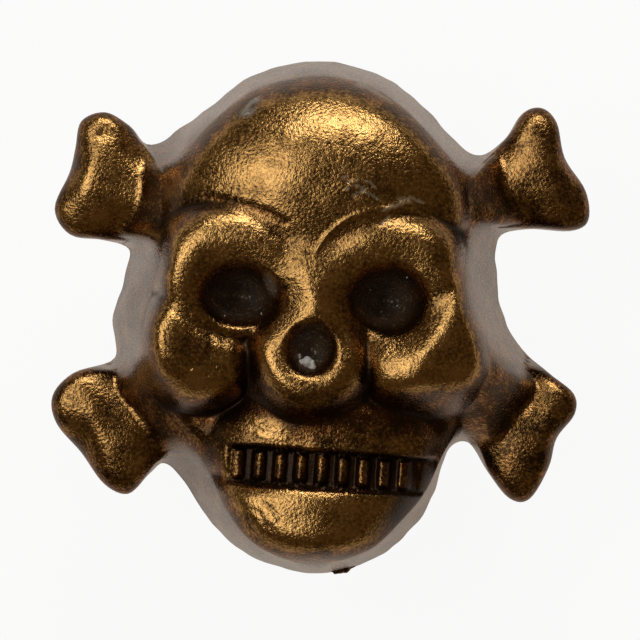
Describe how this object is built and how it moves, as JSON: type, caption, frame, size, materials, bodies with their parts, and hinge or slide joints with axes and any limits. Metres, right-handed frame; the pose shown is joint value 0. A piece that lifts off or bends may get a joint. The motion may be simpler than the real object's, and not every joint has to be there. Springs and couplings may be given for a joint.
{
  "type": "skull rivet",
  "caption": "Screw-back rivet whose cast antique-brass head shows a skull over crossed bones, for leather straps and fabric.",
  "frame": {"origin": "on the post's axis, at the flat back of the casting where the sheet is clamped", "axes": "+Z is the post's axis towards the skull's face, +Y points to the crown of the skull, +X to the viewer's right. The part stands on the head of its screw."},
  "size_m": [0.015, 0.0145, 0.0102],
  "materials": {
    "antique_brass": "antique brass plating, dark in the recesses and rubbed bright on the high places",
    "screw_brass": "antique brass plating on steel, evenly dull"
  },
  "bodies": {
    "screw": {"back_screw": "screw_brass"},
    "head": {"skull_head": "antique_brass"}
  },
  "joints": [
    {"name": "unscrew", "type": "slide", "parent": "screw", "child": "head", "axis": [0, 0, 1], "range_m": [0, 0.012]}
  ]
}
